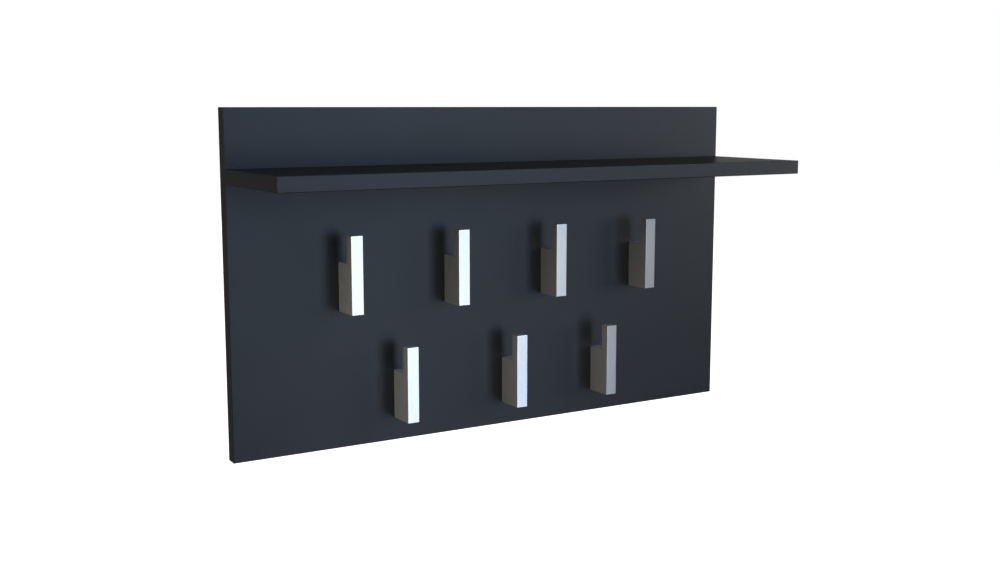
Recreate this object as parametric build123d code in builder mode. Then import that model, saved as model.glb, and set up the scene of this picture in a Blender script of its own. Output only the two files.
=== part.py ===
from build123d import *
import os

# A wall coat rack: a laminated back panel, a hat shelf across it and two staggered rows of cast
# metal hooks. Sizes are in millimetres. X runs to the right as a person faces the rack, Z runs up
# and the wall lies at +Y. The origin is the centre of the panel's back face.

# Boards, measured over their edge bands.
panel_width = 750
panel_height = 430
panel_thickness = 18
shelf_depth = 171
shelf_thickness = 18
shelf_drop = 72.5  # panel's top edge down to the shelf's top face
band_thickness = 1  # plastic strip glued along each exposed board edge
band_rounding = 0.8

# Hooks. Each is one hollow casting, open at the back: a block with an upright plate in front.
hook_width = 16
hook_height = 98
hook_reach = 40  # panel's front face to the plate's front face
hook_plate_thickness = 13
hook_seat_height = 63  # hook's lower end up to the seat behind the plate
hook_corner_radius = 0.6
hook_edge_radius = 0.5  # along both side faces
hook_seat_radius = 1.5  # inside corner between the seat and the plate
hook_side_wall = 2.2
hook_front_wall = 3
hook_core_radius = 1
boss_diameter = 9
boss_spacing = 32
boss_rib_thickness = 1.6
boss_rib_setback = 2  # rib's rear edge inside the hook's back face
boss_hole_spare = 2  # tapped hole beyond the screw's end

upper_row_drop = 65.5  # shelf's underside down to the upper hooks' tops
lower_row_rise = 30  # panel's lower edge up to the lower hooks' ends
upper_row_places = (-225, -75, 75, 225)
lower_row_places = (-150, 13, 160)

# Machine screws that pull each hook to the panel from behind.
hook_screw_diameter = 4
hook_screw_length = 25
hook_screw_point = 0.5
hook_screw_head_diameter = 9.2
hook_screw_head_height = 2.6
hook_screw_head_rim = 0.7
hook_screw_slot_span = 4.6
hook_screw_slot_width = 1
hook_screw_slot_depth = 1.8
hook_screw_seat_depth = 4  # panel's back face to the floor of the counterbore

# Confirmat screws that hold the shelf to the panel from behind.
shelf_screw_shank = 7
shelf_screw_thread = 6  # mean diameter of the coarse thread
shelf_screw_length = 50
shelf_screw_tip = 3
shelf_screw_head_diameter = 10
shelf_screw_socket_flats = 4
shelf_screw_socket_depth = 3
shelf_screw_count = 4
shelf_screw_inset = 55  # shelf's end to the nearest screw
shelf_screw_spare = 3  # pilot hole beyond the screw's tip

# Fluted dowels, one midway between each two confirmat screws.
dowel_diameter = 8
dowel_length = 30
dowel_in_panel = 10
dowel_chamfer = 1
dowel_flute_count = 16
dowel_flute_radius = 0.4
dowel_spare = 1  # drilled depth beyond each end

# Keyhole plates let flush into the panel's back, for two screws in the wall.
hanger_length = 50
hanger_width = 20
hanger_thickness = 2
hanger_inset = 75  # panel's end to the plate's middle
hanger_drop = 36.5  # panel's top edge to the plate's middle
hanger_clearance = 0.2  # around the plate in its recess
keyhole_entry_diameter = 10
keyhole_entry_drop = 7  # plate's middle down to the entry's centre
keyhole_slot_width = 5
keyhole_slot_rise = 7  # plate's middle up to the slot's end centre
wall_screw_pocket_width = 14
wall_screw_pocket_depth = 8  # behind the plate
hanger_screw_spacing = 38
hanger_screw_thread = 3  # mean diameter of the thread
hanger_screw_length = 13
hanger_screw_tip = 2
hanger_screw_head_diameter = 7
hanger_screw_slot_span = 3.6
hanger_screw_slot_width = 0.8
hanger_screw_slot_depth = 1.4

shank_clearance = 0.5  # radial, around a screw that passes through a board
plate_shank_clearance = 0.4  # radial, around a screw that passes through a keyhole plate
head_clearance = 0.5  # radial, around a screw head in its counterbore
countersink_angle = 90

# Heights and depths that follow from the sizes above.
panel_top = panel_height / 2
shelf_width = panel_width
shelf_top = panel_top - shelf_drop
shelf_middle = shelf_top - shelf_thickness / 2
shelf_bottom = shelf_top - shelf_thickness
panel_board_width = panel_width - 2 * band_thickness
panel_board_height = panel_height - 2 * band_thickness
shelf_board_width = shelf_width - 2 * band_thickness
shelf_board_depth = shelf_depth - band_thickness
hook_block_depth = hook_reach - hook_plate_thickness
hook_core_depth = hook_reach - hook_front_wall
screw_in_hook = hook_screw_length - (panel_thickness - hook_screw_seat_depth)

upper_row_bottom = shelf_bottom - upper_row_drop - hook_height
lower_row_bottom = -panel_top + lower_row_rise
hook_places = {}
for number, across in enumerate(upper_row_places, start=1):
    hook_places[f"hook_upper_{number}"] = (across, upper_row_bottom)
for number, across in enumerate(lower_row_places, start=1):
    hook_places[f"hook_lower_{number}"] = (across, lower_row_bottom)

boss_heights = (
    hook_seat_height / 2 - boss_spacing / 2,
    hook_seat_height / 2 + boss_spacing / 2,
)
hook_screw_places = {
    name: [(across, bottom + height) for height in boss_heights]
    for name, (across, bottom) in hook_places.items()
}

shelf_screw_span = shelf_width - 2 * shelf_screw_inset
shelf_screw_pitch = shelf_screw_span / (shelf_screw_count - 1)
shelf_screw_places = [
    (-shelf_screw_span / 2 + step * shelf_screw_pitch, shelf_middle)
    for step in range(shelf_screw_count)
]
dowel_places = [
    (across + shelf_screw_pitch / 2, height) for across, height in shelf_screw_places[:-1]
]

hanger_height = panel_top - hanger_drop
hanger_reach = panel_width / 2 - hanger_inset
hanger_places = {
    "hanger_plate_left": (-hanger_reach, hanger_height),
    "hanger_plate_right": (hanger_reach, hanger_height),
}
hanger_screw_places = {
    name: [
        (across, middle - hanger_screw_spacing / 2),
        (across, middle + hanger_screw_spacing / 2),
    ]
    for name, (across, middle) in hanger_places.items()
}

os.makedirs("parts", exist_ok=True)


def facing_wall(place, depth=0):
    # A plane across a place (x, z) that looks at the wall, sunk by depth from the panel's back.
    return Plane(origin=(place[0], -depth, place[1]), x_dir=(1, 0, 0), z_dir=(0, 1, 0))


def facing_room(place, depth=0):
    # The same the other way round, looking away from the wall.
    return Plane(origin=(place[0], -depth, place[1]), x_dir=(1, 0, 0), z_dir=(0, -1, 0))


def write_piece(piece, name):
    piece.part.label = name
    export_step(piece.part, f"parts/{name}.step")


# Back panel. The board is drilled and recessed from behind, and takes the dowels in front.
with BuildPart() as back_panel_board:
    with BuildSketch(Plane.XZ):
        Rectangle(panel_board_width, panel_board_height)
    extrude(amount=panel_thickness)

    all_hook_screw_places = [place for places in hook_screw_places.values() for place in places]
    with Locations(*[facing_wall(place) for place in all_hook_screw_places]):
        CounterBoreHole(
            radius=hook_screw_diameter / 2 + shank_clearance,
            counter_bore_radius=hook_screw_head_diameter / 2 + head_clearance,
            counter_bore_depth=hook_screw_seat_depth,
        )
    with Locations(*[facing_wall(place) for place in shelf_screw_places]):
        CounterSinkHole(
            radius=shelf_screw_shank / 2,
            counter_sink_radius=shelf_screw_head_diameter / 2,
            counter_sink_angle=countersink_angle,
        )
    with Locations(*[facing_room(place, panel_thickness) for place in dowel_places]):
        Hole(radius=dowel_diameter / 2, depth=dowel_in_panel + dowel_spare)

    with BuildSketch(Plane.XZ):
        with Locations(*hanger_places.values()):
            SlotOverall(
                hanger_length + 2 * hanger_clearance,
                hanger_width + 2 * hanger_clearance,
                rotation=90,
            )
    extrude(amount=hanger_thickness, mode=Mode.SUBTRACT)
    with BuildSketch(Plane.XZ.offset(hanger_thickness)):
        for across, middle in hanger_places.values():
            pocket_middle = middle + (keyhole_slot_rise - keyhole_entry_drop) / 2
            with Locations((across, pocket_middle)):
                SlotCenterToCenter(
                    keyhole_slot_rise + keyhole_entry_drop, wall_screw_pocket_width, rotation=90
                )
    extrude(amount=wall_screw_pocket_depth, mode=Mode.SUBTRACT)
    all_hanger_screw_places = [place for places in hanger_screw_places.values() for place in places]
    with Locations(*[facing_wall(place) for place in all_hanger_screw_places]):
        Hole(radius=hanger_screw_thread / 2, depth=hanger_screw_length)
write_piece(back_panel_board, "back_panel_board")


# Shelf. Its raw rear edge butts against the panel and holds the pilot and dowel holes.
with BuildPart() as shelf_board:
    with BuildSketch(Plane.XZ.offset(panel_thickness)):
        with Locations((0, shelf_middle)):
            Rectangle(shelf_board_width, shelf_thickness)
    extrude(amount=shelf_board_depth)

    with Locations(*[facing_wall(place, panel_thickness) for place in shelf_screw_places]):
        Hole(
            radius=shelf_screw_thread / 2,
            depth=shelf_screw_length - panel_thickness + shelf_screw_spare,
        )
    with Locations(*[facing_wall(place, panel_thickness) for place in dowel_places]):
        Hole(radius=dowel_diameter / 2, depth=dowel_length - dowel_in_panel + dowel_spare)
write_piece(shelf_board, "shelf_board")


# Edge bands. A band lies on the board's edge: its plane's x runs along the edge, its y across the
# board's thickness and its z outwards. A covering band laps over the ends of its neighbours, so
# it is rounded at its ends too.
def edge_band(plane, length, width, covering):
    with BuildPart() as band:
        with BuildSketch(plane):
            Rectangle(length, width)
        extrude(amount=band_thickness)
        outwards = Axis(plane.origin, plane.z_dir)
        if covering:
            glued_edges = band.faces().sort_by(outwards)[0].edges()
            rounded_edges = band.edges() - glued_edges
        else:
            outer_face = band.faces().sort_by(outwards)[-1]
            rounded_edges = outer_face.edges().sort_by(SortBy.LENGTH)[-2:]
        fillet(rounded_edges, radius=band_rounding)
    return band


panel_centre_depth = panel_thickness / 2
for side, sign in {"top": 1, "bottom": -1}.items():
    edge = Plane(
        origin=(0, -panel_centre_depth, sign * panel_board_height / 2),
        x_dir=(1, 0, 0),
        z_dir=(0, 0, sign),
    )
    band = edge_band(edge, panel_width, panel_thickness, covering=True)
    write_piece(band, f"back_panel_edge_{side}")

for side, sign in {"left": -1, "right": 1}.items():
    edge = Plane(
        origin=(sign * panel_board_width / 2, -panel_centre_depth, 0),
        x_dir=(0, 0, 1),
        z_dir=(sign, 0, 0),
    )
    band = edge_band(edge, panel_board_height, panel_thickness, covering=False)
    write_piece(band, f"back_panel_edge_{side}")

    edge = Plane(
        origin=(
            sign * shelf_board_width / 2,
            -panel_thickness - shelf_board_depth / 2,
            shelf_middle,
        ),
        x_dir=(0, 1, 0),
        z_dir=(sign, 0, 0),
    )
    band = edge_band(edge, shelf_board_depth, shelf_thickness, covering=False)
    write_piece(band, f"shelf_edge_{side}")

edge = Plane(
    origin=(0, -panel_thickness - shelf_board_depth, shelf_middle),
    x_dir=(1, 0, 0),
    z_dir=(0, -1, 0),
)
band = edge_band(edge, shelf_width, shelf_thickness, covering=True)
write_piece(band, "shelf_edge_front")


# One hook, with the middle of its back face's lower edge at the origin and its plate at -Y.
with BuildPart() as coat_hook:
    with BuildSketch(Plane.YZ) as outline:
        with BuildLine():
            Polyline(
                (0, 0),
                (0, hook_seat_height),
                (-hook_block_depth, hook_seat_height),
                (-hook_block_depth, hook_height),
                (-hook_reach, hook_height),
                (-hook_reach, 0),
                close=True,
            )
        make_face()
        seat_corner = outline.vertices().sort_by_distance((0, -hook_block_depth, hook_seat_height))[0]
        fillet(seat_corner, radius=hook_seat_radius)
        front_corners = outline.vertices().group_by(Axis.Y)[0]
        plate_back_corner = outline.vertices().group_by(Axis.Z)[-1].sort_by(Axis.Y)[-1]
        fillet([*front_corners, plate_back_corner], radius=hook_corner_radius)
    extrude(amount=hook_width / 2, both=True)

    back_face = coat_hook.faces().sort_by(Axis.Y)[-1]
    side_faces = coat_hook.faces().filter_by(Axis.X)
    outline_edges = side_faces.edges() - back_face.edges()
    fillet(outline_edges, radius=hook_edge_radius)

    with BuildSketch(Plane.XZ):
        with Locations((0, hook_seat_height / 2)):
            RectangleRounded(
                hook_width - 2 * hook_side_wall,
                hook_seat_height - 2 * hook_side_wall,
                radius=hook_core_radius,
            )
    extrude(amount=hook_core_depth, mode=Mode.SUBTRACT)
    with BuildSketch(Plane.XZ):
        with Locations(*[(0, height) for height in boss_heights]):
            Circle(boss_diameter / 2)
    extrude(amount=hook_core_depth)
    with BuildSketch(Plane.XZ.offset(boss_rib_setback)):
        with Locations(*[(0, height) for height in boss_heights]):
            Rectangle(hook_width - 2 * hook_side_wall, boss_rib_thickness)
    extrude(amount=hook_core_depth - boss_rib_setback)
    with Locations(*[facing_wall((0, height)) for height in boss_heights]):
        Hole(radius=hook_screw_diameter / 2, depth=screw_in_hook + boss_hole_spare)

for name, (across, bottom) in hook_places.items():
    with BuildPart() as hook:
        with Locations((across, -panel_thickness, bottom)):
            add(coat_hook.part)
    write_piece(hook, name)


# One hook screw, its head on the XY plane and its shank along -Z: a domed head with a cross slot.
with BuildPart() as hook_screw:
    with BuildSketch(Plane.XZ):
        with BuildLine():
            dome = TangentArc(
                (0, hook_screw_head_height),
                (hook_screw_head_diameter / 2, hook_screw_head_rim),
                tangent=(1, 0),
            )
            Polyline(
                dome @ 1,
                (hook_screw_head_diameter / 2, 0),
                (hook_screw_diameter / 2, 0),
                (hook_screw_diameter / 2, hook_screw_point - hook_screw_length),
                (hook_screw_diameter / 2 - hook_screw_point, -hook_screw_length),
                (0, -hook_screw_length),
                dome @ 0,
            )
        make_face()
    revolve(axis=Axis.Z)
    with BuildSketch(Plane.XY.offset(hook_screw_head_height)):
        Rectangle(hook_screw_slot_span, hook_screw_slot_width)
        Rectangle(hook_screw_slot_width, hook_screw_slot_span)
    extrude(amount=-hook_screw_slot_depth, mode=Mode.SUBTRACT)

for name, places in hook_screw_places.items():
    with BuildPart() as screws:
        with Locations(*[facing_wall(place, hook_screw_seat_depth) for place in places]):
            add(hook_screw.part)
    write_piece(screws, f"{name}_screws")


# One confirmat screw, the flat of its countersunk head on the XY plane and its shank along -Z.
with BuildPart() as shelf_screw:
    with BuildSketch(Plane.XZ):
        with BuildLine():
            Polyline(
                (0, 0),
                (shelf_screw_head_diameter / 2, 0),
                (shelf_screw_shank / 2, (shelf_screw_shank - shelf_screw_head_diameter) / 2),
                (shelf_screw_shank / 2, -panel_thickness),
                (shelf_screw_thread / 2, -panel_thickness),
                (shelf_screw_thread / 2, shelf_screw_tip - shelf_screw_length),
                (0, -shelf_screw_length),
                close=True,
            )
        make_face()
    revolve(axis=Axis.Z)
    with BuildSketch():
        RegularPolygon(shelf_screw_socket_flats / 2, side_count=6, major_radius=False)
    extrude(amount=-shelf_screw_socket_depth, mode=Mode.SUBTRACT)

with BuildPart() as shelf_screws:
    with Locations(*[facing_wall(place) for place in shelf_screw_places]):
        add(shelf_screw.part)
write_piece(shelf_screws, "shelf_screws")


# One dowel, standing on the XY plane.
with BuildPart() as dowel:
    Cylinder(dowel_diameter / 2, dowel_length, align=(Align.CENTER, Align.CENTER, Align.MIN))
    chamfer(dowel.edges().filter_by(GeomType.CIRCLE), length=dowel_chamfer)
    with BuildSketch():
        with PolarLocations(dowel_diameter / 2, dowel_flute_count):
            Circle(dowel_flute_radius)
    extrude(amount=dowel_length, mode=Mode.SUBTRACT)

with BuildPart() as shelf_dowels:
    dowel_start = panel_thickness - dowel_in_panel
    with Locations(*[facing_room(place, dowel_start) for place in dowel_places]):
        add(dowel.part)
write_piece(shelf_dowels, "shelf_dowels")


# Keyhole plates: a round entry for the wall screw's head, and a slot up from it for its shank.
for name, (across, middle) in hanger_places.items():
    with BuildPart() as hanger_plate:
        with BuildSketch(Plane.XZ):
            with Locations((across, middle)):
                SlotOverall(hanger_length, hanger_width, rotation=90)
            with Locations((across, middle - keyhole_entry_drop)):
                Circle(keyhole_entry_diameter / 2, mode=Mode.SUBTRACT)
            with Locations((across, middle + (keyhole_slot_rise - keyhole_entry_drop) / 2)):
                SlotCenterToCenter(
                    keyhole_slot_rise + keyhole_entry_drop,
                    keyhole_slot_width,
                    rotation=90,
                    mode=Mode.SUBTRACT,
                )
        extrude(amount=hanger_thickness)
        with Locations(*[facing_wall(place) for place in hanger_screw_places[name]]):
            CounterSinkHole(
                radius=hanger_screw_thread / 2 + plate_shank_clearance,
                counter_sink_radius=hanger_screw_head_diameter / 2,
                counter_sink_angle=countersink_angle,
            )
    write_piece(hanger_plate, name)


# One plate screw, the flat of its countersunk head on the XY plane and its point along -Z.
with BuildPart() as hanger_screw:
    with BuildSketch(Plane.XZ):
        with BuildLine():
            Polyline(
                (0, 0),
                (hanger_screw_head_diameter / 2, 0),
                (hanger_screw_thread / 2, (hanger_screw_thread - hanger_screw_head_diameter) / 2),
                (hanger_screw_thread / 2, hanger_screw_tip - hanger_screw_length),
                (0, -hanger_screw_length),
                close=True,
            )
        make_face()
    revolve(axis=Axis.Z)
    with BuildSketch():
        Rectangle(hanger_screw_slot_span, hanger_screw_slot_width)
        Rectangle(hanger_screw_slot_width, hanger_screw_slot_span)
    extrude(amount=-hanger_screw_slot_depth, mode=Mode.SUBTRACT)

for name, places in hanger_screw_places.items():
    with BuildPart() as screws:
        with Locations(*[facing_wall(place) for place in places]):
            add(hanger_screw.part)
    write_piece(screws, f"{name}_screws")
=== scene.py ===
import math

import bmesh
import bpy
import numpy as np
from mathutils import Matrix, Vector


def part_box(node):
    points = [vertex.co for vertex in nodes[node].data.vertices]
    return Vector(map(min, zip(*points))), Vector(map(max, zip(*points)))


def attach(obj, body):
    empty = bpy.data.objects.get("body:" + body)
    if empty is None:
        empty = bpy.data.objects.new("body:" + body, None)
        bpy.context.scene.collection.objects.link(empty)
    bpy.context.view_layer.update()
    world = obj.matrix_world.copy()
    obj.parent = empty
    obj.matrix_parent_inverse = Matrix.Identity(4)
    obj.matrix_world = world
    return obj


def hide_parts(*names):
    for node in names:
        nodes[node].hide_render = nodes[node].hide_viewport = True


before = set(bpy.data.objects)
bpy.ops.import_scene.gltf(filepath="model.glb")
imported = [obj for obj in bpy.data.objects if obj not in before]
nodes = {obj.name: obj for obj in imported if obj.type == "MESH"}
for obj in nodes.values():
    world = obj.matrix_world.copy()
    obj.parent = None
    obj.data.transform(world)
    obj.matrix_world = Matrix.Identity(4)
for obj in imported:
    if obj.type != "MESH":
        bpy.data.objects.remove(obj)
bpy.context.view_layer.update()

mm = 0.001
print("frame:", len(nodes), "nodes")


# Camera, at a standing person's eye to the left of the rack, looking a little down.

viewPoint = {
    "place": (-0.8397, -1.4302, 0.2168),
    "turn": 0.5375,  # radians to the right of straight at the wall
    "tilt": 0.1416,  # radians down
    "lens": 44.31,
    "sensor": 36.0,
}

camera = bpy.data.objects.new("camera", bpy.data.cameras.new("camera"))
bpy.context.scene.collection.objects.link(camera)
ahead = Vector((
    math.sin(viewPoint["turn"]) * math.cos(viewPoint["tilt"]),
    math.cos(viewPoint["turn"]) * math.cos(viewPoint["tilt"]),
    -math.sin(viewPoint["tilt"]),
))
camera.location = viewPoint["place"]
camera.rotation_mode = "QUATERNION"
camera.rotation_quaternion = ahead.to_track_quat("-Z", "Y")
camera.data.lens = viewPoint["lens"]
camera.data.sensor_width = viewPoint["sensor"]
bpy.context.scene.camera = camera
bpy.context.scene.view_settings.view_transform = "Standard"


# Shader maths. A Wire holds a socket of one material's tree, and sums of wires add Math nodes.

class Wire:
    def __init__(self, tree, socket=None):
        self.tree = tree
        self.socket = socket

    def node(self, kind, settings=None, inputs=None, output=0):
        made = self.tree.nodes.new("ShaderNode" + kind)
        settings = dict(settings or {})
        stops = settings.pop("stops", [])
        for key, value in settings.items():
            setattr(made, key, value)
        for number, (place, colour) in enumerate(stops):
            elements = made.color_ramp.elements
            element = elements[number] if number < 2 else elements.new(place)
            element.position = place
            element.color = (*colour, 1)
        for key, value in (inputs or {}).items():
            if isinstance(value, Wire):
                self.tree.links.new(value.socket, made.inputs[key])
            else:
                made.inputs[key].default_value = value
        return Wire(self.tree, made.outputs[output] if made.outputs else None)

    def other(self, output):
        return Wire(self.tree, self.socket.node.outputs[output])

    def maths(self, operation, *values, clamped=False):
        settings = {"operation": operation, "use_clamp": clamped}
        return self.node("Math", settings, dict(enumerate(values)))

    def __add__(self, other):
        return self.maths("ADD", self, other)

    def __sub__(self, other):
        return self.maths("SUBTRACT", self, other)

    def __rsub__(self, other):
        return self.maths("SUBTRACT", other, self)

    def __mul__(self, other):
        return self.maths("MULTIPLY", self, other)

    def __abs__(self):
        return self.maths("ABSOLUTE", self)

    __radd__ = __add__
    __rmul__ = __mul__

    def above(self, level, softness):
        # 0 under the level, 1 over it, and a straight climb of that width across it
        return self.maths("MULTIPLY_ADD", self, 1 / softness, 0.5 - level / softness, clamped=True)

    def below(self, level, softness):
        return self.maths("MULTIPLY_ADD", self, -1 / softness, 0.5 + level / softness, clamped=True)

    def larger(self, other):
        return self.maths("MAXIMUM", self, other)

    def smaller(self, other):
        return self.maths("MINIMUM", self, other)

    def place(self, stretch=(1, 1, 1), centre=(0, 0, 0)):
        # the point on the piece from a centre, in metres, times a stretch along each axis
        point = self.node("TexCoord", {}, {}, 3)
        shift = tuple(-c * s for c, s in zip(centre, stretch))
        return self.node("Mapping", {}, {"Vector": point, "Location": shift, "Scale": stretch})

    def noise(self, point, scale, detail, roughness):
        inputs = {"Vector": point, "Scale": scale, "Detail": detail, "Roughness": roughness}
        return self.node("TexNoise", {}, inputs)

    def blend(self, share, first, second):
        # two colours through a Mix node
        return self.node("Mix", {"data_type": "RGBA"}, {0: share, 6: first, 7: second}, 2)

    def drift(self, share, colour, amount):
        # from a little darker than the colour to a little lighter
        return self.blend(share, rgba(colour, 1 - amount), rgba(colour, 1 + amount))


def newMaterial(name):
    material = bpy.data.materials.new(name)
    material.use_nodes = True
    material.node_tree.nodes.clear()
    return material, Wire(material.node_tree)


def finishMaterial(wire, inputs, height=None, depth=1.0):
    # depth is how far the height's 0 to 1 stands out, in metres
    if height is not None:
        inputs["Normal"] = wire.node("Bump", {}, {"Height": height, "Distance": depth, "Strength": 1.0})
    shader = wire.node("BsdfPrincipled", {}, inputs)
    wire.node("OutputMaterial", {}, {"Surface": shader})


def rgba(colour, factor=1.0):
    return (*[channel * factor for channel in colour], 1.0)


def paint(name, material):
    slots = nodes[name].data.materials
    slots.clear()
    slots.append(material)
    for polygon in nodes[name].data.polygons:
        polygon.material_index = 0


# Laminated board: a satin dark face with a fine pressed grain, and bare chipboard inside the holes.
# A noise is its scale per metre, its detail and its roughness.

laminate = {
    "colour": (0.0046, 0.0052, 0.0064),
    "drift": 0.10,  # share by which the colour drifts
    "mottleNoise": (55.0, 4.0, 0.6),
    "grainNoise": (1300.0, 3.0, 0.6),
    "grainDepth": 0.03 * mm,
    "grainGloss": 0.10,  # how much duller the grain's tops are than its hollows
    "smudgeNoise": (9.0, 3.0, 0.55),
    "roughness": 0.40,
    "roughnessDrift": 0.03,
    "panelRefraction": 1.5,
    "shelfRefraction": 1.17,  # the shelf stays dull at a low angle too
    "skin": 0.12 * mm,  # laminate's thickness on the chipboard
    "skinEdge": 0.04 * mm,
    "glueLine": 0.12 * mm,  # a darker line where a board meets its edge bands
    "glueEdge": 0.05 * mm,
    "glueShare": 0.7,
    "glueShade": 0.35,
}
chipboard = {
    "shades": [
        (0.0, (0.23, 0.135, 0.065)),
        (0.35, (0.40, 0.265, 0.145)),
        (0.7, (0.53, 0.385, 0.235)),
        (1.0, (0.66, 0.52, 0.35)),
    ],
    "chips": (420.0, 900.0, 420.0),  # chips per metre along each axis
    "chipShare": 0.7,
    "dustNoise": (2600.0, 4.0, 0.7),
    "dustShare": 0.3,
    "depth": 0.25 * mm,
    "roughness": 0.88,
}


def boardMaterial(name, node, thicknessAxis, edgeAxes, refraction):
    low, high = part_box(node)
    middle = (low + high) / 2
    half = (high - low) / 2
    material, wire = newMaterial(name)
    point = wire.place()
    fromMiddle = wire.node("SeparateXYZ", {}, {"Vector": wire.place(centre=middle)})
    skinDepth = half[thicknessAxis] - abs(fromMiddle.other(thicknessAxis))
    inside = skinDepth.above(laminate["skin"], laminate["skinEdge"])
    rim = [half[axis] - abs(fromMiddle.other(axis)) for axis in edgeAxes]
    glue = rim[0].smaller(rim[1]).below(laminate["glueLine"], laminate["glueEdge"])

    mottle = wire.noise(point, *laminate["mottleNoise"])
    grain = wire.noise(point, *laminate["grainNoise"])
    smudge = wire.noise(point, *laminate["smudgeNoise"])
    face = wire.drift(mottle, laminate["colour"], laminate["drift"])
    glueColour = rgba(laminate["colour"], laminate["glueShade"])
    face = wire.blend(glue * laminate["glueShare"], face, glueColour)

    chipPoint = wire.place(chipboard["chips"])
    chips = wire.node("TexVoronoi", {"feature": "F1"}, {"Vector": chipPoint, "Scale": 1.0})
    chipShade = wire.node("SeparateXYZ", {}, {"Vector": chips.other("Color")})
    dust = wire.noise(point, *chipboard["dustNoise"])
    shade = chipShade * chipboard["chipShare"] + dust * chipboard["dustShare"]
    core = wire.node("ValToRGB", {"stops": chipboard["shades"]}, {"Fac": shade})

    faceRoughness = (smudge - 0.5) * (2 * laminate["roughnessDrift"]) + laminate["roughness"]
    faceRoughness = faceRoughness + (grain - 0.5) * laminate["grainGloss"]
    roughness = inside * (chipboard["roughness"] - faceRoughness) + faceRoughness
    height = inside * (shade * (chipboard["depth"] / laminate["grainDepth"]) - grain) + grain
    colour = wire.blend(inside, face, core)
    inputs = {"Base Color": colour, "Roughness": roughness, "IOR": refraction}
    finishMaterial(wire, inputs, height, laminate["grainDepth"])
    return material


paint("back_panel_board", boardMaterial(
    "panelLaminate", "back_panel_board", 1, (0, 2), laminate["panelRefraction"]
))
paint("shelf_board", boardMaterial(
    "shelfLaminate", "shelf_board", 2, (0, 1), laminate["shelfRefraction"]
))


# Edge bands: the same dark shade in plastic, with faint lines along the strip.

edgeBand = {
    "colour": (0.0050, 0.0056, 0.0066),
    "drift": 0.14,
    "along": 12.0,  # pattern per metre along the strip
    "across": 2400.0,
    "lineNoise": (1.0, 3.0, 0.6),
    "lineShare": 0.5,
    "cloudNoise": (40.0, 3.0, 0.5),
    "cloudShare": 0.5,
    "grainDepth": 0.015 * mm,
    "roughness": 0.40,
    "roughnessDrift": 0.04,
    "refraction": 1.5,
}


def bandMaterial(name, lengthAxis):
    material, wire = newMaterial(name)
    stretch = [edgeBand["across"]] * 3
    stretch[lengthAxis] = edgeBand["along"]
    lines = wire.noise(wire.place(tuple(stretch)), *edgeBand["lineNoise"])
    cloud = wire.noise(wire.place(), *edgeBand["cloudNoise"])
    share = lines * edgeBand["lineShare"] + cloud * edgeBand["cloudShare"]
    colour = wire.drift(share, edgeBand["colour"], edgeBand["drift"])
    roughness = (lines - 0.5) * (2 * edgeBand["roughnessDrift"]) + edgeBand["roughness"]
    inputs = {"Base Color": colour, "Roughness": roughness, "IOR": edgeBand["refraction"]}
    finishMaterial(wire, inputs, lines, edgeBand["grainDepth"])
    return material


bandLengths = {
    "back_panel_edge_top": 0,
    "back_panel_edge_bottom": 0,
    "back_panel_edge_left": 2,
    "back_panel_edge_right": 2,
    "shelf_edge_front": 0,
    "shelf_edge_left": 1,
    "shelf_edge_right": 1,
}
for name, lengthAxis in bandLengths.items():
    paint(name, bandMaterial(name + "_plastic", lengthAxis))
print("boards and bands painted")


# Hooks: satin nickel, finely brushed up and down, with a painted highlight that makes it a little
# brighter along its edges.

nickel = {
    "colour": (0.74, 0.725, 0.70),
    "drift": 0.05,
    "cloudNoise": (70.0, 3.0, 0.5),
    "brushAcross": 3200.0,
    "brushAlong": 30.0,
    "brushNoise": (1.0, 3.0, 0.65),
    "brushDepth": 0.008 * mm,
    "metallic": 0.70,
    "roughness": 0.21,
    "roughnessDrift": 0.08,
    "edgeWidth": 0.9 * mm,
    # painted highlight: how much lighter the colour is made along the edges
    "edgeHighlight": 1.12,
    "edgePolish": 0.05,
}


def hookMaterial(name, node):
    low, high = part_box(node)
    material, wire = newMaterial(name)
    point = wire.place()
    across, along = nickel["brushAcross"], nickel["brushAlong"]
    brush = wire.noise(wire.place((across, across, along), low), *nickel["brushNoise"])
    cloud = wire.noise(point, *nickel["cloudNoise"])

    spot = wire.node("SeparateXYZ", {}, {"Vector": point})
    width = nickel["edgeWidth"]
    side = abs(spot - (low.x + high.x) / 2).above((high.x - low.x) / 2 - width, width)
    front = spot.other(1).below(low.y + width, width)
    middle, half = (low.z + high.z) / 2, (high.z - low.z) / 2
    end = abs(spot.other(2) - middle).above(half - width, width)
    # a band along the outer edges, which carries the painted highlight and a little less roughness
    edge = (side * front).larger(side * end).larger(front * end)

    colour = wire.drift(cloud, nickel["colour"], nickel["drift"])
    # painted highlight: the colour is lifted along the edges, where a bevel would catch the light
    colour = wire.blend(edge, colour, rgba(nickel["colour"], nickel["edgeHighlight"]))
    roughness = (brush - 0.5) * (2 * nickel["roughnessDrift"]) + nickel["roughness"]
    roughness = roughness - edge * nickel["edgePolish"]
    inputs = {"Base Color": colour, "Roughness": roughness, "Metallic": nickel["metallic"]}
    finishMaterial(wire, inputs, brush, nickel["brushDepth"])
    return material


hookNames = [
    name for name in sorted(nodes) if name.startswith("hook_") and not name.endswith("_screws")
]
for name in hookNames:
    paint(name, hookMaterial(name + "_nickel", name))
print("hooks painted:", len(hookNames))


# Keyhole plates: pressed steel with a clouded zinc plating.

zincPlate = {
    "shades": [(0.0, (0.42, 0.44, 0.46)), (0.55, (0.56, 0.57, 0.57)), (1.0, (0.66, 0.66, 0.64))],
    "cloudNoise": (260.0, 4.0, 0.6),
    "cloudShare": 0.6,
    "lines": (2600.0, 2600.0, 60.0),  # rolled along the plate
    "lineNoise": (1.0, 3.0, 0.6),
    "lineShare": 0.4,
    "depth": 0.01 * mm,
    "roughness": 0.36,
    "roughnessDrift": 0.10,
}


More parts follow.
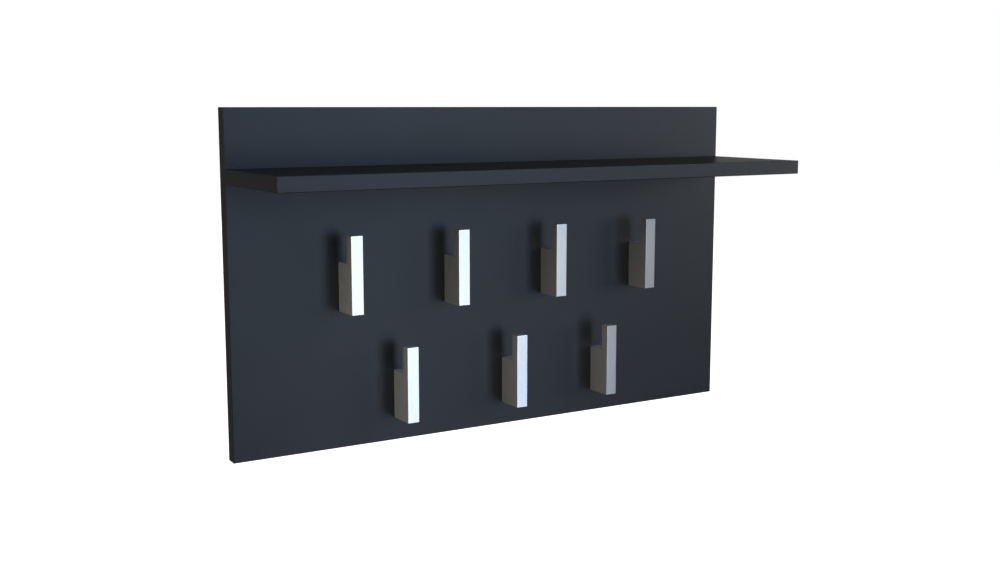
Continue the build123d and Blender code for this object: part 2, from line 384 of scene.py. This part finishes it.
def zincMaterial(name, look):
    material, wire = newMaterial(name)
    cloud = wire.noise(wire.place(), *look["cloudNoise"])
    lines = wire.noise(wire.place(look["lines"]), *look["lineNoise"])
    share = cloud * look["cloudShare"] + lines * look["lineShare"]
    colour = wire.node("ValToRGB", {"stops": look["shades"]}, {"Fac": share})
    roughness = (cloud - 0.5) * (2 * look["roughnessDrift"]) + look["roughness"]
    inputs = {"Base Color": colour, "Roughness": roughness, "Metallic": 1.0}
    finishMaterial(wire, inputs, lines, look["depth"])
    return material


plateZinc = zincMaterial("plateZinc", zincPlate)
for side in ("left", "right"):
    paint("hanger_plate_" + side, plateZinc)


# Dowels: beech, with its grain along the dowel and short darker flecks.

beech = {
    "shades": [(0.0, (0.40, 0.25, 0.13)), (0.5, (0.58, 0.40, 0.24)), (1.0, (0.70, 0.52, 0.34))],
    "grain": (900.0, 30.0, 900.0),
    "grainNoise": (1.0, 4.0, 0.6),
    "grainGloss": 0.12,
    "flecks": (1500.0, 260.0, 1500.0),
    "fleckNoise": (1.0, 1.0, 0.5),
    "fleckLevel": 0.68,
    "fleckEdge": 0.05,
    "fleckShade": 0.35,
    "depth": 0.05 * mm,
    "roughness": 0.62,
}


def beechMaterial():
    material, wire = newMaterial("beech")
    grain = wire.noise(wire.place(beech["grain"]), *beech["grainNoise"])
    fleckNoise = wire.noise(wire.place(beech["flecks"]), *beech["fleckNoise"])
    flecks = fleckNoise.above(beech["fleckLevel"], beech["fleckEdge"])
    shade = grain - flecks * beech["fleckShade"]
    colour = wire.node("ValToRGB", {"stops": beech["shades"]}, {"Fac": shade})
    roughness = grain * beech["grainGloss"] + beech["roughness"]
    finishMaterial(wire, {"Base Color": colour, "Roughness": roughness}, grain, beech["depth"])
    return material


paint("shelf_dowels", beechMaterial())


def meshOf(name, points, faces):
    mesh = bpy.data.meshes.new(name)
    mesh.from_pydata(points.tolist(), [], faces.tolist())
    mesh.validate()
    piece = bpy.data.objects.new(name, mesh)
    bpy.context.scene.collection.objects.link(piece)
    return piece


# Screws: zinc plated, each node's screws as one piece. A screw is one grid, wound round its axis.

hookScrew = {
    "recess": "cross",
    "recessReach": 2.3 * mm,
    "recessHalf": 0.5 * mm,
    "recessDepth": 1.8 * mm,
    "recessTaper": 0.6,
    "headRadius": 4.6 * mm,
    "headDepth": 1.4 * mm,  # from the panel's back to the dome's top
    "apart": (-16 * mm, 16 * mm),
    "domeRise": 1.9 * mm,
    "domePower": 2,
    "rim": 0.7 * mm,
    "cone": 0.0,
    "shankRadius": 2.0 * mm,
    "shankEnd": 3.0 * mm,  # depths are from the head's highest point
    "coreRadius": 1.58 * mm,
    "threadRadius": 2.0 * mm,
    "threadEnd": 27.1 * mm,
    "pitch": 0.7 * mm,
    "ridge": (0.0, 0.12, 0.44, 0.56),  # where in a pitch the root and the crest begin and end
    "tip": 0.5 * mm,
    "tipRadius": 1.3 * mm,
}
confirmat = {
    "recess": "hexagon",
    "apart": (-320 * mm, -320 / 3 * mm, 320 / 3 * mm, 320 * mm),
    "recessReach": 2.0 * mm,
    "recessDepth": 3.0 * mm,
    "recessTaper": 1.0,
    "headRadius": 5.0 * mm,
    "domeRise": 0.15 * mm,
    "domePower": 10,  # flat, and rounded only at its edge
    "rim": 0.05 * mm,
    "cone": 1.3 * mm,
    "shankRadius": 3.5 * mm,
    "shankEnd": 18.0 * mm,
    "coreRadius": 2.5 * mm,
    "threadRadius": 3.5 * mm,
    "threadEnd": 47.0 * mm,
    "pitch": 3.2 * mm,
    "ridge": (0.0, 0.55, 0.76, 0.82),
    "tip": 3.0 * mm,
    "tipRadius": 0.0,
}
plateScrew = {
    "recess": "cross",
    "apart": (-19 * mm, 19 * mm),
    "recessReach": 1.8 * mm,
    "recessHalf": 0.4 * mm,
    "recessDepth": 1.4 * mm,
    "recessTaper": 0.55,
    "headRadius": 3.5 * mm,
    "domeRise": 0.15 * mm,
    "domePower": 10,
    "rim": 0.05 * mm,
    "cone": 1.8 * mm,
    "shankRadius": 1.5 * mm,
    "shankEnd": 2.4 * mm,
    "coreRadius": 1.2 * mm,
    "threadRadius": 1.75 * mm,
    "threadEnd": 11.0 * mm,
    "pitch": 1.4 * mm,
    "ridge": (0.0, 0.5, 0.72, 0.78),
    "tip": 2.0 * mm,
    "tipRadius": 0.0,
}
screwGrid = {
    "columns": 36,
    "faceRows": 5,
    "recessPoint": 1.12,  # the recess's middle against the depth round it
    "neck": 0.4 * mm,  # the longest slope from shank to thread
    "merge": 1e-6,
    "sliver": 1e-7,
    "sharpAngle": 32.0,
}


def recessOutline(screw, turn):
    # radius of the recess at each angle: the nearer of an arm's end and side, or a hexagon's flat
    if screw["recess"] == "hexagon":
        fold = np.abs((turn + math.pi / 6) % (math.pi / 3) - math.pi / 6)
        return screw["recessReach"] / np.cos(fold)
    fold = np.abs((turn + math.pi / 4) % (math.pi / 2) - math.pi / 4)
    side = screw["recessHalf"] / np.maximum(np.sin(fold), 1e-6)
    return np.minimum(screw["recessReach"] / np.cos(fold), side)


def screwColumns(screw):
    # even steps round the axis, and the recess's own corners between them
    even = np.linspace(0, 2 * math.pi, screwGrid["columns"] + 1)
    if screw["recess"] == "hexagon":
        return even
    corner = math.atan2(screw["recessHalf"], screw["recessReach"])
    arms = np.arange(5) * math.pi / 2
    corners = np.concatenate([arms - corner, arms + corner, arms + math.pi / 4])
    corners = corners[(corners > 0) & (corners < 2 * math.pi)]
    return np.unique(np.round(np.concatenate([even, corners]), 9))


def screwSurface(screw):
    # radius and depth of every row: recess, domed or flat face, rim, cone, shank, thread and tip.
    # a thread row climbs one pitch in a turn, is held between the thread's ends, and swells from
    # the core to the crest as its place in the pitch says, less over the first and last turns
    turn = screwColumns(screw)
    ring = np.ones_like(turn)
    outline = recessOutline(screw, turn)
    headRadius = screw["headRadius"]

    def faceDepth(radius):
        return screw["domeRise"] * (radius / headRadius) ** screw["domePower"]

    bottom = screw["recessDepth"]
    radii = [0 * ring, outline * screw["recessTaper"], outline]
    depths = [bottom * screwGrid["recessPoint"] * ring, bottom * ring, faceDepth(outline)]
    for share in np.linspace(0, 1, screwGrid["faceRows"] + 1)[1:]:
        radius = outline + (headRadius - outline) * share
        radii.append(radius)
        depths.append(faceDepth(radius))
    rimEnd = screw["domeRise"] + screw["rim"]
    radii += [headRadius * ring, screw["shankRadius"] * ring]
    depths += [rimEnd * ring, (rimEnd + screw["cone"]) * ring]
    start, end, pitch = screw["shankEnd"], screw["threadEnd"], screw["pitch"]
    neck = min(screwGrid["neck"], (start - rimEnd - screw["cone"]) / 2)
    radii += [screw["shankRadius"] * ring, screw["coreRadius"] * ring]
    depths += [(start - neck) * ring, start * ring]

    turns = math.ceil((end - start) / pitch)
    for whole in range(-1, turns + 1):
        for step, share in enumerate(screw["ridge"]):
            depth = np.clip(start + (whole + share + turn / (2 * math.pi)) * pitch, start, end)
            fade = np.minimum(depth - start, end - depth) / pitch
            swell = (step >= 2) * (screw["threadRadius"] - screw["coreRadius"])
            radii.append(screw["coreRadius"] + swell * np.clip(fade, 0, 1))
            depths.append(depth)
    radii += [screw["coreRadius"] * ring, screw["tipRadius"] * ring, 0 * ring]
    depths += [end * ring, (end + screw["tip"]) * ring, (end + screw["tip"]) * ring]
    return np.array(radii), np.array(depths), turn


def screwPiece(name, node, screw, places, material):
    # places are the heads' highest points, and a screw runs from there towards the room, along -Y:
    # a point is its radius at its turn round that axis, and its depth along it
    radii, depths, turn = screwSurface(screw)
    shape = np.stack([radii * np.cos(turn), -depths, radii * np.sin(turn)], axis=-1)
    points = (np.array(places)[:, None, None, :] + shape[None]).reshape(-1, 3)
    number = np.arange(len(points)).reshape(len(places), *radii.shape)
    near, far = number[:, :-1], number[:, 1:]
    faces = np.stack([near[..., :-1], near[..., 1:], far[..., 1:], far[..., :-1]], axis=-1)
    piece = meshOf(name, points, faces.reshape(-1, 4))
    closed = bmesh.new()
    closed.from_mesh(piece.data)
    bmesh.ops.remove_doubles(closed, verts=closed.verts, dist=screwGrid["merge"])
    bmesh.ops.dissolve_degenerate(closed, edges=closed.edges, dist=screwGrid["sliver"])
    bmesh.ops.recalc_face_normals(closed, faces=closed.faces)
    closed.to_mesh(piece.data)
    closed.free()
    piece.data.polygons.foreach_set("use_smooth", [True] * len(piece.data.polygons))
    piece.data.set_sharp_from_angle(angle=math.radians(screwGrid["sharpAngle"]))
    piece.data.materials.append(material)
    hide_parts(node)
    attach(piece, "root")


zincScrew = {
    "shades": [(0.0, (0.36, 0.38, 0.41)), (0.5, (0.54, 0.55, 0.56)), (1.0, (0.64, 0.64, 0.63))],
    "cloudNoise": (420.0, 4.0, 0.6),
    "cloudShare": 0.6,
    "lines": (120.0, 3200.0, 120.0),  # turned, so they run round the axis
    "lineNoise": (1.0, 3.0, 0.6),
    "lineShare": 0.4,
    "depth": 0.006 * mm,
    "roughness": 0.33,
    "roughnessDrift": 0.09,
}
screwZinc = zincMaterial("screwZinc", zincScrew)


def backOf(node, depth, across=0.0, up=0.0):
    # a head's place on the panel's back, from the middle of its node's box
    low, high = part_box(node)
    return ((low.x + high.x) / 2 + across, -depth, (low.z + high.z) / 2 + up)


for name in hookNames:
    node = name + "_screws"
    places = [backOf(node, hookScrew["headDepth"], 0, up) for up in hookScrew["apart"]]
    screwPiece(name + "_bolts", node, hookScrew, places, screwZinc)
places = [backOf("shelf_screws", 0, across) for across in confirmat["apart"]]
screwPiece("shelf_confirmats", "shelf_screws", confirmat, places, screwZinc)
for side in ("left", "right"):
    node = "hanger_plate_" + side + "_screws"
    places = [backOf(node, 0, 0, up) for up in plateScrew["apart"]]
    screwPiece("plate_screws_" + side, node, plateScrew, places, screwZinc)
print("screws cut")


# Light and floor.

softBoxes = {  # "towards" is degrees right of the wall's own outward direction, then degrees up
    "frontNear": {"towards": (7, 9), "spread": (14, 42), "shine": (0.65, 1.0, 1.6)},
    "frontLow": {"towards": (24, -20), "spread": (18, 16), "shine": (1.58, 1.9, 2.6)},
    "frontMiddle": {"towards": (24, -7), "spread": (18, 10), "shine": (1.85, 2.15, 2.15)},
    "frontHigh": {"towards": (24, 8), "spread": (18, 20), "shine": (1.4, 2.1, 3.2)},
    "frontEdge": {"towards": (32.5, -8), "spread": (3, 30), "shine": (0.02, 0.05, 0.5)},
    "rightDim": {"towards": (40, 3), "spread": (10, 26), "shine": (0.16, 0.14, 0.14)},
    "right": {"towards": (58, 13), "spread": (24, 34), "shine": (3.2, 3.25, 3.25)},
    "left": {"towards": (-82, 28), "spread": (72, 52), "shine": (1.85, 1.8, 1.65)},
    "frontLeft": {"towards": (-45, 18), "spread": (30, 24), "shine": (0.75, 0.75, 0.8)},
    "frontDim": {"towards": (-15, -4), "spread": (30, 44), "shine": (0.13, 0.13, 0.13)},
    "leftDim": {"towards": (-47, -14), "spread": (34, 38), "shine": (0.3, 0.3, 0.3)},
    "lowLeft": {"towards": (-60, -55), "spread": (60, 50), "shine": (0.2, 0.2, 0.2)},
    "above": {"towards": (180, 82), "spread": (56, 44), "shine": (0.9, 0.9, 0.9)},
    "behindRight": {"towards": (143, -10), "spread": (62, 44), "shine": (0.7, 0.7, 0.7)},
    "behindLeft": {"towards": (-155, -10), "spread": (36, 44), "shine": (0.07, 0.07, 0.07)},
}
studio = {"distance": 9.0, "seen": 1.0, "shining": (0.04, 0.04, 0.04)}
floorSheet = {
    "level": -0.78,
    "reach": 16.0,
    "innermost": 0.02,  # first ring's place on the way out
    "rings": 20,
    "spokes": 72,
    "greys": (0.86, 0.90),
    "noise": (3.0, 3.0, 0.5),
    "roughness": 0.9,
    "glow": 1.0,
}


def softBox(name, box):
    # a rectangle that fills the given angles at the studio's distance, as bright all over as its shine
    azimuth, height = (math.radians(angle) for angle in box["towards"])
    away = Vector((
        math.sin(azimuth) * math.cos(height), -math.cos(azimuth) * math.cos(height), math.sin(height)
    ))
    light = bpy.data.lights.new(name, "AREA")
    light.shape = "RECTANGLE"
    light.size, light.size_y = (
        2 * studio["distance"] * math.tan(math.radians(angle / 2)) for angle in box["spread"]
    )
    strongest = max(box["shine"])
    light.energy = strongest * light.size * light.size_y * math.pi
    light.color = [share / strongest for share in box["shine"]]
    lamp = bpy.data.objects.new(name, light)
    bpy.context.scene.collection.objects.link(lamp)
    lamp.location = away * studio["distance"]
    lamp.rotation_mode = "QUATERNION"
    lamp.rotation_quaternion = (-away).to_track_quat("-Z", "Y")
    lamp.visible_camera = False


def layFloor(sheet):
    # a flat disc: radius grows with the square of the ring's number, on evenly spaced spokes
    ring = np.linspace(sheet["innermost"], 1.0, sheet["rings"])[:, None] ** 2 * sheet["reach"]
    turn = np.linspace(0, 2 * math.pi, sheet["spokes"], endpoint=False)[None, :]
    x, y = ring * np.cos(turn), ring * np.sin(turn)
    points = np.stack([x, y, np.full_like(x, sheet["level"])], axis=-1).reshape(-1, 3)
    number = np.arange(len(points)).reshape(sheet["rings"], sheet["spokes"])
    inner, outer = number[:-1], number[1:]
    nextInner, nextOuter = np.roll(inner, -1, axis=1), np.roll(outer, -1, axis=1)
    faces = np.stack([inner, outer, nextOuter, nextInner], axis=-1)
    floor = meshOf("floor", points, faces.reshape(-1, 4))
    material, wire = newMaterial("paleFloor")
    cloud = wire.noise(wire.place(), *sheet["noise"])
    darker, lighter = (rgba((grey,) * 3) for grey in sheet["greys"])
    finishMaterial(wire, {
        "Base Color": wire.blend(cloud, darker, lighter),
        "Roughness": sheet["roughness"],
        "Emission Color": rgba((1, 1, 1)),
        "Emission Strength": sheet["glow"],
    })
    floor.data.materials.append(material)
    floor.visible_diffuse = False  # it glows to the eye only, so that it stays out of the gloss
    floor.visible_glossy = False


def lightWorld(look):
    world = bpy.data.worlds.new("studio")
    bpy.context.scene.world = world
    world.use_nodes = True
    world.node_tree.nodes.clear()
    wire = Wire(world.node_tree)
    seen = wire.node("LightPath")
    colour = wire.blend(seen, rgba(look["shining"]), rgba((look["seen"],) * 3))
    sky = wire.node("Background", {}, {"Color": colour, "Strength": 1.0})
    wire.node("OutputWorld", {}, {"Surface": sky})


for name, box in softBoxes.items():
    softBox(name, box)
layFloor(floorSheet)
lightWorld(studio)
print("studio lit")
